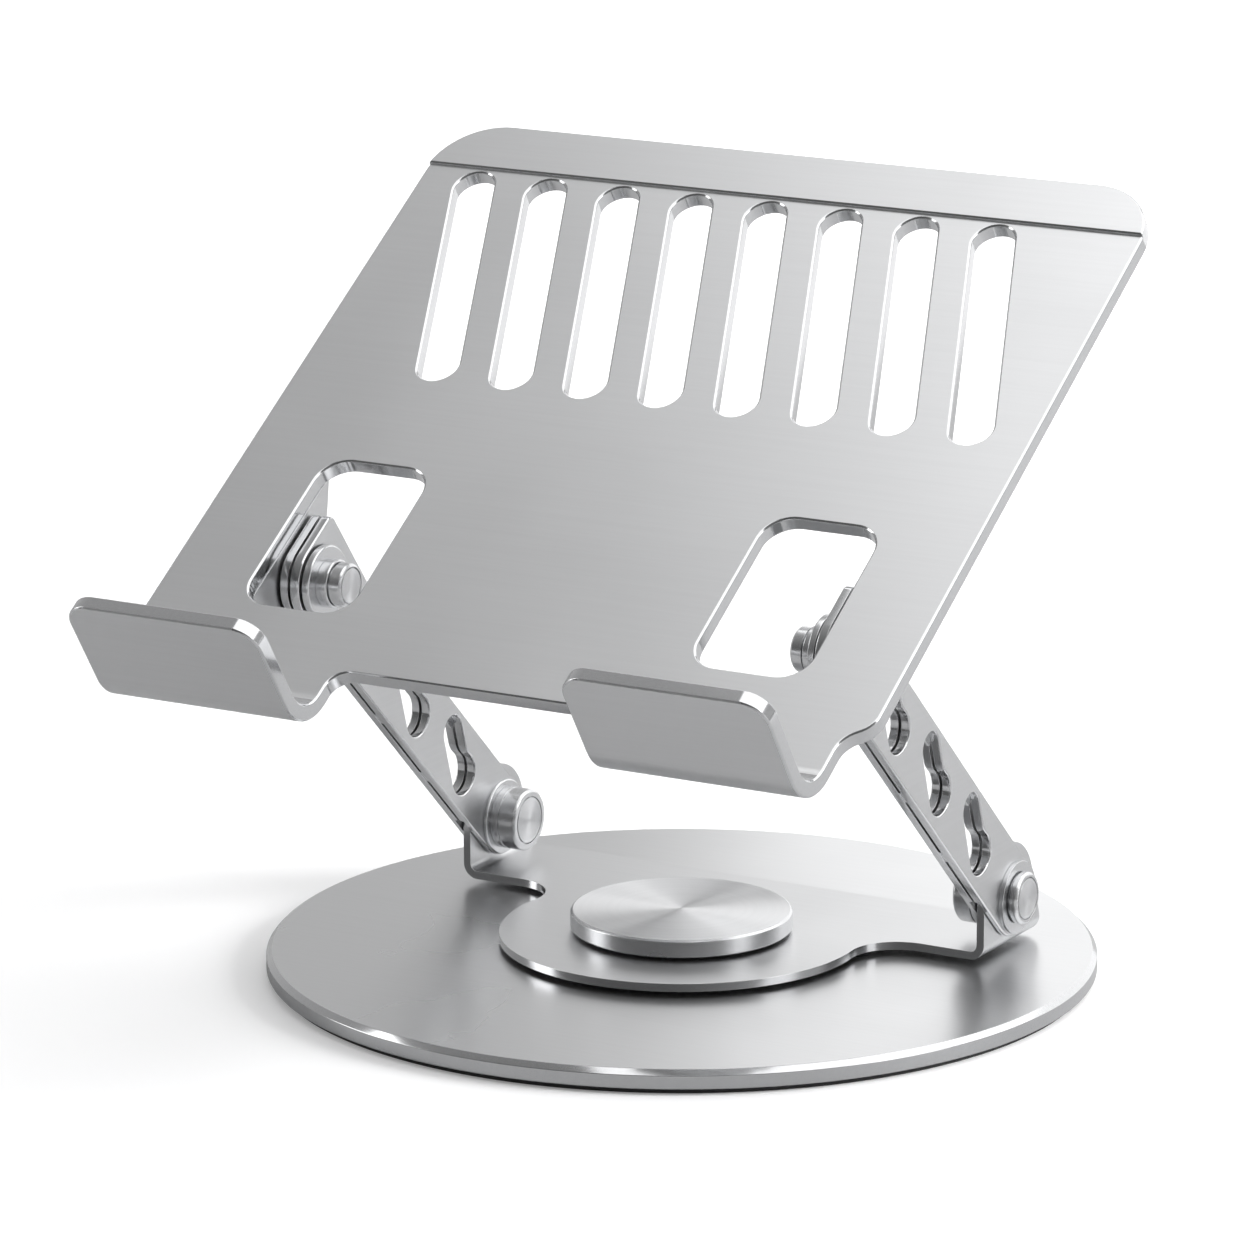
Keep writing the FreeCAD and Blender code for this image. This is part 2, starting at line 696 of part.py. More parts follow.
def main():
    os.makedirs("parts", exist_ok=True)
    save("base_plate", [base_plate()])
    save("base_rubber_pad", [base_rubber_pad()])
    save("centre_cap", [centre_cap()])
    save("pivot_screws", pivot_screws())
    save("lower_slip_washer", [slip_ring(lower_slip_radius, base_top, lower_slip_thickness)])
    save("upper_slip_washer", [slip_ring(upper_slip_radius, bracket_top + slip_play, upper_slip_thickness)])
    save("swivel_bracket", [swivel_bracket()])
    save_pair("arm_inner_plate", [arm_plate(plate_inner_face, gap_inner_face,
                                            pocket_inner_face, gap_inner_face, plate_inner_face)])
    save_pair("arm_outer_plate", [arm_plate(gap_outer_face, plate_outer_face,
                                            gap_outer_face, pocket_outer_face, plate_outer_face)])
    save_pair("arm_spacers", arm_spacers())
    for name, solids in lower_hinge_parts().items():
        save_pair("lower_" + name, solids)
    for name, solids in upper_hinge_parts().items():
        save_pair("upper_" + name, solids)
    save("laptop_tray", [laptop_tray()])
    save_pair("tray_ear", [tray_ear()])


main()
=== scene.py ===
import json
import math

import bpy
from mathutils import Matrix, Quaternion, Vector


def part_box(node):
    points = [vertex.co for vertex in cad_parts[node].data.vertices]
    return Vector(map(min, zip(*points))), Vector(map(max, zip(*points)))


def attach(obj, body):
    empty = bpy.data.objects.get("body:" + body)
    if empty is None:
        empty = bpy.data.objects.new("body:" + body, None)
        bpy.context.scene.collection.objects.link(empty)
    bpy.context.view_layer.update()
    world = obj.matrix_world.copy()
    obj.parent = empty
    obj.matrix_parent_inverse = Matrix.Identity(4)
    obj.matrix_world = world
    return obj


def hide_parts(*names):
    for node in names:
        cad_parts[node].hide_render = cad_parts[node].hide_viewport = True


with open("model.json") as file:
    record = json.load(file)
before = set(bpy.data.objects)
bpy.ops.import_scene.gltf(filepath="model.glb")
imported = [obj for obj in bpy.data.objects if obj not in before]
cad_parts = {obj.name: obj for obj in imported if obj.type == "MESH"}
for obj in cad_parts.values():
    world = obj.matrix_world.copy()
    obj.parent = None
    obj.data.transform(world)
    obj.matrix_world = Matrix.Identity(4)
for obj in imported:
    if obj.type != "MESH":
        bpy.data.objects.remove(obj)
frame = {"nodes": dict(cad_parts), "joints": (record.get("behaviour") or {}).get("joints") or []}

bl_info = {
    "name": "Folding Laptop Stand",
    "version": (1, 0, 0),
    "blender": (4, 5, 0),
    "location": "3D View > Sidebar > Laptop Stand",
    "description": "Models and finishes a folding laptop stand, and sets it in a studio",
    "category": "Add Mesh",
}

SIDES = ("left", "right")
MIDDLE = Vector((0, 0, 0))
ACROSS = Vector((1, 0, 0))
UP = Vector((0, 0, 1))
UNTURNED = (0, 0, 0)
Z_TO_X = (0, math.pi / 2, 0)
JOINTS = {joint["name"]: joint for joint in frame["joints"]}
LOWER_HINGE = Vector(JOINTS["left_arm_lift"]["pos_m"])
UPPER_HINGE = Vector(JOINTS["tray_tilt"]["pos_m"])
ARM_RISE = UPPER_HINGE - LOWER_HINGE

# Grain of the finishes: scales per metre, then depths in metres
LINE_SCALE = 900.0
CLOUD_SCALE = 14.0
SPECK_SCALE = 2200.0
MARK_SCALE = 22.0
SMALL_MARK_SCALE = 60.0
RING_SCALE = 4200.0
BROAD_RING_SCALE = 420.0
RUBBER_SCALE = 2600.0
PLASTIC_SCALE = 1500.0
BRUSH_DEPTH = 0.00002
RING_DEPTH = 0.00001
MOULD_DEPTH = 0.00005

# Stretch of the brush lines, small along them
LINES_ALONG_X = (0.02, 1.0, 1.0)
LINES_ALONG_Y = (1.0, 0.02, 1.0)
LINES_ROUND_X = (1.0, 0.02, 0.02)
NO_LINES = (1.0, 1.0, 1.0)

# How far the grain moves roughness, height and colour
CLOUD_ROUGHNESS = 0.025
SMUDGE_ROUGHNESS = 0.03
SPUN_SMUDGE_ROUGHNESS = 0.06
MOULD_ROUGHNESS = 0.08
SPECK_SHARE = 0.5
CLOUD_RANGE = (0.1, 0.9)
SMUDGE_RANGE = (0.35, 0.85)
RING_BUMP = 0.04
RING_CONTRAST = 0.015
MOULD_DARK, MOULD_LIGHT = 0.7, 1.5

# Colours that are a share of another one, and the fan of highlights on spun metal
PLASTIC_SHADE = 1.2
STEEL_SHADE = 0.8
RING_SPREAD = 0.95
RING_TURN = 0.25

# Mending of the frame's meshes, and shapes that the frame doesn't give
MERGE_DISTANCE = 0.000002
FLAT_ANGLE = math.radians(0.5)
SHARP_ANGLE = math.radians(35)
FLAT_WEIGHT = 60
UNDER_EDGE_IN = 0.0004
UNDER_EDGE_RISE = 0.0003
PLATE_TOP_RINGS = (0.6, 0.3)
CAP_TOP_RINGS = (0.66, 0.33, 0.02)
DISC_TOP_RINGS = (0.5, 0.03)
CAP_CLEARANCE = 0.0001
BOSS_SHARE = 0.4
RIM_DISHES = 4
NEAR_FACE = 0.0005
PAD_EASE = 1 / 3
DISC_EASE = 0.3

# Where a sheet's skins are: distances in metres, and shares of a unit normal
TOP_TOLERANCE = 0.00005
TOP_FACING = 0.99
SKIN_FACING = 0.97
SHEET_FACING = 0.9
EDGE_FACING = 0.05
LIP_BAND = 0.0006
EAR_FACE_BAND = 0.0034
EAR_BEND_BAND = 0.0064
CHAMFER_LEAN = 0.12
HOOKS_BELOW = -0.0555
FLAT_FRONT = 0.0175
LIP_FRONT = 0.05

# Studio
LIGHT_AIM = Vector((0, 0, 0.1))
FLOOR_SIZE = 40.0
FLOOR_ROUGHNESS = 0.6
FLOOR_GRAIN = 3.0
FLOOR_MOTTLE = 0.995
# Share of the floor's colour that the metal mirrors: a painted shade that darkens the floor in
# reflections
FLOOR_PAINTED_SHADE_IN_METAL = 0.55
GLOW_NEAR, GLOW_FAR, GLOW_DEPTH = 0.2, 0.8, 1.6
WORLD_FRONT, WORLD_BACK = -0.9, 0.7
WORLD_DIM, WORLD_BRIGHT, WORLD_BACKDROP = 0.12, 0.55, 1.0
SENSOR_WIDTH = 36.0
CLIP_END = 100.0

# Name, place, width and height, power setting, share of that power
SOFT_BOXES = (
    ("overhead_box", (0.42, 0.25, 1.4), (2.2, 2.2), "key_power", 1.0),
    ("back_box", (0.05, 1.25, 0.4), (1.5, 0.9), "back_power", 1.0),
    ("left_box", (-1.7, -0.7, 0.75), (0.7, 1.5), "side_power", 1.0),
    ("right_box", (1.9, 0.1, 0.8), (0.8, 1.6), "side_power", 0.6),
    ("shadow_box", (1.7, 0.6, 0.8), (0.8, 0.8), "shadow_power", 1.0),
)


# Settings


class StandSizes(bpy.types.PropertyGroup):
    """Sizes of the details that are added to the frame."""

    plate_chamfer: bpy.props.FloatProperty(
        name="Base chamfer", description="Polished chamfer round the top of the base",
        default=0.0014, unit="LENGTH")
    pad_round: bpy.props.FloatProperty(
        name="Pad edge", description="Rounding of the rubber pad's edges",
        default=0.0004, unit="LENGTH")
    cap_bevel: bpy.props.FloatProperty(
        name="Cap bevel", description="Bright bevel round the centre cap",
        default=0.0006, unit="LENGTH")
    edge_round: bpy.props.FloatProperty(
        name="Edge round", description="Rounding of the sheet metal's sharp edges",
        default=0.00012, unit="LENGTH")
    turned_round: bpy.props.FloatProperty(
        name="Turned edge round", description="Rounding of the turned hardware's edges",
        default=0.00015, unit="LENGTH")
    disc_dish: bpy.props.FloatProperty(
        name="Disc dish", description="Depth of the shallow step inside each inlaid disc's rim",
        default=0.0001, unit="LENGTH")
    disc_thickness: bpy.props.FloatProperty(
        name="Disc thickness", description="Thickness of each inlaid disc",
        default=0.0009, unit="LENGTH")
    base_steps: bpy.props.IntProperty(
        name="Base steps", description="Steps round the base plate", default=256)
    disc_steps: bpy.props.IntProperty(
        name="Disc steps", description="Steps round a small inlaid disc", default=96)


class StandFinishes(bpy.types.PropertyGroup):
    """Colours and roughness of the finishes."""

    sheet_colour: bpy.props.FloatVectorProperty(
        name="Sheet", description="Satin anodised sheet", subtype="COLOR", size=3,
        default=(0.68, 0.684, 0.692))
    polish_colour: bpy.props.FloatVectorProperty(
        name="Polished edge", description="Machined and polished edges", subtype="COLOR", size=3,
        default=(0.64, 0.645, 0.655))
    turned_colour: bpy.props.FloatVectorProperty(
        name="Turned metal", description="Turned hinge hardware", subtype="COLOR", size=3,
        default=(0.68, 0.685, 0.695))
    spun_colour: bpy.props.FloatVectorProperty(
        name="Spun metal", description="Discs brushed in circles", subtype="COLOR", size=3,
        default=(0.74, 0.745, 0.755))
    black_colour: bpy.props.FloatVectorProperty(
        name="Black", description="Slip washers and pad", subtype="COLOR", size=3,
        default=(0.012, 0.012, 0.013))
    sheet_roughness: bpy.props.FloatProperty(
        name="Sheet roughness", description="Roughness of the satin sheet",
        default=0.34, subtype="FACTOR")
    base_roughness: bpy.props.FloatProperty(
        name="Base roughness", description="Roughness of the base's top",
        default=0.28, subtype="FACTOR")
    polish_roughness: bpy.props.FloatProperty(
        name="Edge roughness", description="Roughness of polished edges",
        default=0.13, subtype="FACTOR")
    turned_roughness: bpy.props.FloatProperty(
        name="Turned roughness", description="Roughness of the turned hardware",
        default=0.24, subtype="FACTOR")
    spun_roughness: bpy.props.FloatProperty(
        name="Spun roughness", description="Roughness of the discs brushed in circles",
        default=0.34, subtype="FACTOR")
    steel_roughness: bpy.props.FloatProperty(
        name="Steel roughness", description="Roughness of the pivot's screws",
        default=0.3, subtype="FACTOR")
    rubber_roughness: bpy.props.FloatProperty(
        name="Rubber roughness", description="Roughness of the pad",
        default=0.62, subtype="FACTOR")
    plastic_roughness: bpy.props.FloatProperty(
        name="Plastic roughness", description="Roughness of the slip washers",
        default=0.42, subtype="FACTOR")


class StandStudio(bpy.types.PropertyGroup):
    """Camera, lights and floor."""

    azimuth: bpy.props.FloatProperty(
        name="Azimuth", description="Turn of the camera about the stand",
        default=math.radians(29.957), unit="ROTATION")
    elevation: bpy.props.FloatProperty(
        name="Elevation", description="Height angle of the camera",
        default=math.radians(14.241), unit="ROTATION")
    roll: bpy.props.FloatProperty(
        name="Roll", description="Lean of the camera",
        default=math.radians(-0.122), unit="ROTATION")
    distance: bpy.props.FloatProperty(
        name="Distance", description="From the camera to the point it looks at",
        default=1.7343, unit="LENGTH")
    aim: bpy.props.FloatVectorProperty(
        name="Aim", description="Point the camera looks at", subtype="XYZ", size=3,
        default=(-0.0165, 0.0, 0.0906))
    lens: bpy.props.FloatProperty(
        name="Lens", description="Focal length in millimetres", default=189.2)
    key_power: bpy.props.FloatProperty(
        name="Overhead light", description="Power of the overhead soft box",
        default=20.0, unit="POWER")
    side_power: bpy.props.FloatProperty(
        name="Side light", description="Power of the soft boxes at the sides",
        default=8.0, unit="POWER")
    shadow_power: bpy.props.FloatProperty(
        name="Shadow light", description="Power of the box that casts the soft shadow",
        default=40.0, unit="POWER")
    back_power: bpy.props.FloatProperty(
        name="Back light", description="Power of the low soft box behind the stand",
        default=3.4, unit="POWER")
    floor_colour: bpy.props.FloatVectorProperty(
        name="Floor", description="Colour of the pale floor", subtype="COLOR", size=3,
        default=(0.82, 0.82, 0.825))


# Shader nodes


def new_material(name):
    """Makes a material and gives its nodes, links and Principled shader."""
    material = bpy.data.materials.new(name)
    material.use_nodes = True
    nodes = material.node_tree.nodes
    return nodes, material.node_tree.links, nodes["Principled BSDF"]


def value_group(name, inputs, outputs):
    """An empty node group. Inputs are (name, socket type, default), outputs are names of floats."""
    group = bpy.data.node_groups.new(name, "ShaderNodeTree")
    for socket, kind, default in inputs:
        made = group.interface.new_socket(socket, in_out="INPUT", socket_type=kind)
        if default is not None:
            made.default_value = default
    for socket in outputs:
        group.interface.new_socket(socket, in_out="OUTPUT", socket_type="NodeSocketFloat")
    return group, group.nodes.new("NodeGroupInput"), group.nodes.new("NodeGroupOutput")


def placed_group(nodes, name):
    """One use of a node group."""
    node = nodes.new("ShaderNodeGroup")
    node.node_tree = bpy.data.node_groups[name]
    return node


def noise(nodes, scale, detail, roughness=0.5):
    node = nodes.new("ShaderNodeTexNoise")
    node.inputs["Scale"].default_value = scale
    node.inputs["Detail"].default_value = detail
    node.inputs["Roughness"].default_value = roughness
    return node


def remap(nodes, low, high, start=0.3, end=0.7):
    """Eases a value that runs from start to end into one from low to high."""
    node = nodes.new("ShaderNodeMapRange")
    node.interpolation_type = "SMOOTHSTEP"
    node.inputs["From Min"].default_value = start
    node.inputs["From Max"].default_value = end
    node.inputs["To Min"].default_value = low
    node.inputs["To Max"].default_value = high
    return node


def share_added(nodes, links, value, share, base):
    """A share of one value, added to another."""
    node = nodes.new("ShaderNodeMath")
    node.operation = "MULTIPLY_ADD"
    node.inputs[1].default_value = share
    links.new(value, node.inputs[0])
    links.new(base, node.inputs[2])
    return node.outputs["Value"]


def shade(colour, share):
    return tuple(channel * share for channel in colour)


def mixed_colour(nodes, links, factor, dark, light):
    mix = nodes.new("ShaderNodeMix")
    mix.data_type = "RGBA"
    mix.inputs["A"].default_value = (*dark, 1)
    mix.inputs["B"].default_value = (*light, 1)
    links.new(factor, mix.inputs["Factor"])
    return mix.outputs["Result"]


def vary_colour(nodes, links, shader, value, dark, light):
    """Runs a shader's colour from dark to light with a value."""
    tone = remap(nodes, 0.0, 1.0)
    links.new(value, tone.inputs["Value"])
    colour = mixed_colour(nodes, links, tone.outputs["Result"], dark, light)
    links.new(colour, shader.inputs["Base Color"])


def add_bump(nodes, links, shader, height, strength, depth):
    """Presses a height into a shader's normal."""
    bumped = nodes.new("ShaderNodeBump")
    bumped.inputs["Strength"].default_value = strength
    bumped.inputs["Distance"].default_value = depth
    links.new(height, bumped.inputs["Height"])
    links.new(bumped.outputs["Normal"], shader.inputs["Normal"])


def brushed_grain_group():
    """Brush lines, broad clouds and fine specks. Vector is stretched along the brush lines."""
    group, start, end = value_group(
        "brushed_grain",
        [("Vector", "NodeSocketVector", None), ("Place", "NodeSocketVector", None)],
        ["Line", "Cloud", "Speck"])
    layers = (
        ("Line", "Vector", noise(group.nodes, LINE_SCALE, 5.0, 0.62)),
        ("Cloud", "Place", noise(group.nodes, CLOUD_SCALE, 3.0)),
        ("Speck", "Place", noise(group.nodes, SPECK_SCALE, 2.0)),
    )
    for output, vector, layer in layers:
        group.links.new(start.outputs[vector], layer.inputs["Vector"])
        group.links.new(layer.outputs["Fac"], end.inputs[output])


def handling_marks_group():
    """A mask of faint smudges left by hands."""
    group, start, end = value_group(
        "handling_marks",
        [("Vector", "NodeSocketVector", None), ("Size", "NodeSocketFloat", MARK_SCALE)],
        ["Mask"])
    nodes, links = group.nodes, group.links
    patches = noise(nodes, MARK_SCALE, 3.0)
    sharpen = remap(nodes, 0.0, 1.0, *SMUDGE_RANGE)
    links.new(start.outputs["Vector"], patches.inputs["Vector"])
    links.new(start.outputs["Size"], patches.inputs["Scale"])
    links.new(patches.outputs["Fac"], sharpen.inputs["Value"])
    links.new(sharpen.outputs["Result"], end.inputs["Mask"])


def ring_grain_group():
    """Fine and broad rings about an axis. Vector is centred on that axis, which is turned to Z."""
    group, start, end = value_group(
        "ring_grain", [("Vector", "NodeSocketVector", None)], ["Ring", "Broad"])
    nodes, links = group.nodes, group.links
    split = nodes.new("ShaderNodeSeparateXYZ")
    flat = nodes.new("ShaderNodeCombineXYZ")
    radius = nodes.new("ShaderNodeVectorMath")
    radius.operation = "LENGTH"
    links.new(start.outputs["Vector"], split.inputs["Vector"])
    links.new(split.outputs["X"], flat.inputs["X"])
    links.new(split.outputs["Y"], flat.inputs["Y"])
    links.new(flat.outputs["Vector"], radius.inputs[0])
    layers = (
        ("Ring", noise(nodes, RING_SCALE, 3.0, 0.6)),
        ("Broad", noise(nodes, BROAD_RING_SCALE, 2.0)),
    )
    for output, layer in layers:
        layer.noise_dimensions = "1D"
        links.new(radius.outputs["Value"], layer.inputs["W"])
        links.new(layer.outputs["Fac"], end.inputs[output])


# Finishes


def brushed_finish(name, colour, roughness, stretch, turn, bump, contrast):
    """Satin metal brushed one way."""
    nodes, links, shader = new_material(name)
    place = nodes.new("ShaderNodeTexCoord")
    mapping = nodes.new("ShaderNodeMapping")
    mapping.inputs["Rotation"].default_value = turn
    mapping.inputs["Scale"].default_value = stretch
    links.new(place.outputs["Object"], mapping.inputs["Vector"])
    grain = placed_group(nodes, "brushed_grain")
    links.new(mapping.outputs["Vector"], grain.inputs["Vector"])
    links.new(place.outputs["Object"], grain.inputs["Place"])
    marks = placed_group(nodes, "handling_marks")
    links.new(place.outputs["Object"], marks.inputs["Vector"])
    line = grain.outputs["Line"]
    vary_colour(nodes, links, shader, line, shade(colour, 1 - contrast), shade(colour, 1 + contrast))
    clouded = remap(nodes, roughness - CLOUD_ROUGHNESS, roughness + CLOUD_ROUGHNESS, *CLOUD_RANGE)
    links.new(grain.outputs["Cloud"], clouded.inputs["Value"])
    smudged = share_added(
        nodes, links, marks.outputs["Mask"], SMUDGE_ROUGHNESS, clouded.outputs["Result"])
    links.new(smudged, shader.inputs["Roughness"])
    relief = share_added(nodes, links, grain.outputs["Speck"], SPECK_SHARE, line)
    add_bump(nodes, links, shader, relief, bump, BRUSH_DEPTH)
    shader.inputs["Metallic"].default_value = 1.0


def spun_finish(name, colour, centre, turn, axis, roughness):
    """Metal brushed in circles about an axis through centre, so highlights fan out from it."""
    nodes, links, shader = new_material(name)
    place = nodes.new("ShaderNodeTexCoord")
    mapping = nodes.new("ShaderNodeMapping")
    mapping.vector_type = "TEXTURE"
    mapping.inputs["Location"].default_value = centre
    mapping.inputs["Rotation"].default_value = turn
    links.new(place.outputs["Object"], mapping.inputs["Vector"])
    rings = placed_group(nodes, "ring_grain")
    links.new(mapping.outputs["Vector"], rings.inputs["Vector"])
    marks = placed_group(nodes, "handling_marks")
    marks.inputs["Size"].default_value = SMALL_MARK_SCALE
    links.new(place.outputs["Object"], marks.inputs["Vector"])
    vary_colour(nodes, links, shader, rings.outputs["Broad"],
                shade(colour, 1 - RING_CONTRAST), shade(colour, 1 + RING_CONTRAST))
    smudged = remap(nodes, roughness, roughness + SPUN_SMUDGE_ROUGHNESS, 0.0, 1.0)
    links.new(marks.outputs["Mask"], smudged.inputs["Value"])
    links.new(smudged.outputs["Result"], shader.inputs["Roughness"])
    add_bump(nodes, links, shader, rings.outputs["Ring"], RING_BUMP, RING_DEPTH)
    round_about = nodes.new("ShaderNodeTangent")
    round_about.direction_type = "RADIAL"
    round_about.axis = axis
    links.new(round_about.outputs["Tangent"], shader.inputs["Tangent"])
    shader.inputs["Anisotropic"].default_value = RING_SPREAD
    shader.inputs["Anisotropic Rotation"].default_value = RING_TURN
    shader.inputs["Metallic"].default_value = 1.0


def moulded_finish(name, colour, roughness, grain_scale, bump):
    """Black rubber or plastic with a fine moulded grain."""
    nodes, links, shader = new_material(name)
    place = nodes.new("ShaderNodeTexCoord")
    grain = noise(nodes, grain_scale, 4.0, 0.6)
    links.new(place.outputs["Object"], grain.inputs["Vector"])
    vary_colour(nodes, links, shader, grain.outputs["Fac"],
                shade(colour, MOULD_DARK), shade(colour, MOULD_LIGHT))
    uneven = remap(nodes, roughness - MOULD_ROUGHNESS, roughness + MOULD_ROUGHNESS)
    links.new(grain.outputs["Fac"], uneven.inputs["Value"])
    links.new(uneven.outputs["Result"], shader.inputs["Roughness"])
    add_bump(nodes, links, shader, grain.outputs["Fac"], bump, MOULD_DEPTH)


def make_finishes(settings):
    """Makes every finish of the stand."""
    brushed_grain_group()
    handling_marks_group()
    ring_grain_group()
    sheet = tuple(settings.sheet_colour)
    polish = tuple(settings.polish_colour)
    turned = tuple(settings.turned_colour)
    spun = tuple(settings.spun_colour)
    steel = shade(turned, STEEL_SHADE)
    black = tuple(settings.black_colour)
    plastic = shade(black, PLASTIC_SHADE)
    along_arm = (math.atan2(ARM_RISE.z, ARM_RISE.y), 0, 0)
    brushed_finish("satin_sheet", sheet, settings.sheet_roughness, LINES_ALONG_X, UNTURNED,
                   bump=0.02, contrast=0.012)
    brushed_finish("satin_arm", sheet, settings.sheet_roughness, LINES_ALONG_Y, along_arm,
                   bump=0.05, contrast=0.015)
    brushed_finish("satin_base", sheet, settings.base_roughness, LINES_ALONG_X, UNTURNED,
                   bump=0.02, contrast=0.012)
    brushed_finish("polished_edge", polish, settings.polish_roughness, NO_LINES, UNTURNED,
                   bump=0.03, contrast=0.02)
    brushed_finish("turned_metal", turned, settings.turned_roughness, LINES_ROUND_X, UNTURNED,
                   bump=0.04, contrast=0.015)
    brushed_finish("screw_steel", steel, settings.steel_roughness, NO_LINES, UNTURNED,
                   bump=0.1, contrast=0.05)
    spun_finish("spun_cap", spun, MIDDLE, UNTURNED, "Z", settings.spun_roughness)
    spun_finish("spun_lower_disc", spun, LOWER_HINGE, Z_TO_X, "X", settings.spun_roughness)
    spun_finish("spun_upper_disc", spun, UPPER_HINGE, Z_TO_X, "X", settings.spun_roughness)
    moulded_finish("black_rubber", black, settings.rubber_roughness, RUBBER_SCALE, bump=0.5)
    moulded_finish("black_plastic", plastic, settings.plastic_roughness, PLASTIC_SCALE, bump=0.25)


# Modelling


def nothing_selected():
    if bpy.context.object and bpy.context.object.mode != "OBJECT":
        bpy.ops.object.mode_set(mode="OBJECT")
    bpy.ops.object.select_all(action="DESELECT")


def only_selected(piece):
    nothing_selected()
    piece.select_set(True)
    bpy.context.view_layer.objects.active = piece


def lathe(name, centre, direction, stations, steps):
    """A solid turned about an axis through centre. Stations are (distance along the axis, radius)."""
    nothing_selected()
    reached, first_radius = stations[0]
    turn = Z_TO_X if abs(direction.x) > 0.5 else UNTURNED
    bpy.ops.mesh.primitive_circle_add(
        vertices=steps, radius=first_radius, fill_type="NGON", location=centre + direction * reached,
        rotation=turn)
    piece = bpy.context.active_object
    piece.name = name
    piece.data.name = name
    bpy.ops.object.transform_apply(location=True, rotation=True, scale=True)
    bpy.ops.object.mode_set(mode="EDIT")
    bpy.ops.mesh.select_all(action="SELECT")
    along = Vector((abs(direction.x), abs(direction.y), abs(direction.z)))
    previous = first_radius
    for station, radius in stations[1:]:
        step = direction * (station - reached)
        bpy.ops.mesh.extrude_region_move(TRANSFORM_OT_translate={"value": step})
        scale = along + (Vector((1, 1, 1)) - along) * (radius / previous)
        bpy.ops.transform.resize(value=scale, center_override=centre + direction * station)
        reached, previous = station, radius
    bpy.ops.mesh.select_all(action="SELECT")
    bpy.ops.mesh.normals_make_consistent(inside=False)
    bpy.ops.object.mode_set(mode="OBJECT")
    return piece


def cleaned_copy(name, node):
    """A copy of a frame node's mesh with its corners merged and its flats made whole."""
    piece = bpy.data.objects.new(name, frame["nodes"][node].data.copy())
    piece.data.name = name
    piece.data.materials.clear()
    bpy.context.scene.collection.objects.link(piece)
    only_selected(piece)
    bpy.ops.mesh.customdata_custom_splitnormals_clear()
    bpy.ops.object.mode_set(mode="EDIT")
    bpy.ops.mesh.select_all(action="SELECT")
    bpy.ops.mesh.remove_doubles(threshold=MERGE_DISTANCE)
    bpy.ops.mesh.dissolve_limited(angle_limit=FLAT_ANGLE)
    bpy.ops.object.mode_set(mode="OBJECT")
    return piece


def eased(piece, width):
    """Rounds the sharp edges and lets the flats carry the shading."""
    only_selected(piece)
    bevel = piece.modifiers.new("Edge round", "BEVEL")
    bevel.width = width
    bevel.segments = 2
    bevel.limit_method = "ANGLE"
    bevel.angle_limit = SHARP_ANGLE
    bevel.use_clamp_overlap = True
    bpy.ops.object.modifier_apply(modifier=bevel.name)
    bpy.ops.object.shade_smooth()
    weighted = piece.modifiers.new("Flat shading", "WEIGHTED_NORMAL")
    weighted.keep_sharp = False
    weighted.weight = FLAT_WEIGHT
    bpy.ops.object.modifier_apply(modifier=weighted.name)
    return piece


def two_finishes(piece, skin, edge, is_skin):
    """Gives the faces that are skin one finish and the others another."""
    piece.data.materials.append(bpy.data.materials[skin])
    piece.data.materials.append(bpy.data.materials[edge])
    for face in piece.data.polygons:
        face.material_index = 0 if is_skin(face) else 1


def fitted(piece, body, node):
    """Fixes a finished piece to its body in place of its frame node."""
    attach(piece, body)
    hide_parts(node)


def painted(node, finish):
    """A frame node that stays, with a better finish."""
    shown = frame["nodes"][node]
    shown.data.materials.clear()
    shown.data.materials.append(bpy.data.materials[finish])


def is_top(high):
    """A test for the faces of a turned piece's flat top."""
    return lambda face: face.center.z > high.z - TOP_TOLERANCE and face.normal.z > TOP_FACING


def is_plate_skin(face):
    """True on the two flats of a plate that stands across X."""
    return abs(face.normal.x) > SKIN_FACING


# Pieces


class STAND_OT_finishes(bpy.types.Operator):
    """Makes the stand's finishes"""
    bl_idname = "stand.finishes"
    bl_label = "Finishes"

    def execute(self, context):
        make_finishes(context.scene.stand_finishes)
        return {"FINISHED"}


class STAND_OT_base(bpy.types.Operator):
    """Turns the base plate and its rubber pad"""
    bl_idname = "stand.base"
    bl_label = "Base plate and pad"

    def execute(self, context):
        sizes = context.scene.stand_sizes
        low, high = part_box("base_plate")
        radius = high.x
        chamfer = sizes.plate_chamfer
        stations = [(low.z, radius - UNDER_EDGE_IN), (low.z + UNDER_EDGE_RISE, radius),
                    (high.z - chamfer, radius), (high.z, radius - chamfer)]
        stations += [(high.z, radius * share) for share in PLATE_TOP_RINGS]
        plate = lathe("base_plate_turned", MIDDLE, UP, stations, sizes.base_steps)
        eased(plate, sizes.edge_round)
        two_finishes(plate, "satin_base", "polished_edge", is_top(high))
        fitted(plate, "base", "base_plate")
        low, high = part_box("base_rubber_pad")
        edge = sizes.pad_round
        stations = [(low.z, high.x - edge), (low.z + edge, high.x), (high.z, high.x)]
        pad = lathe("rubber_pad", MIDDLE, UP, stations, sizes.base_steps)
        eased(pad, edge * PAD_EASE)
        pad.data.materials.append(bpy.data.materials["black_rubber"])
        fitted(pad, "base", "base_rubber_pad")
        painted("pivot_screws", "screw_steel")
        return {"FINISHED"}


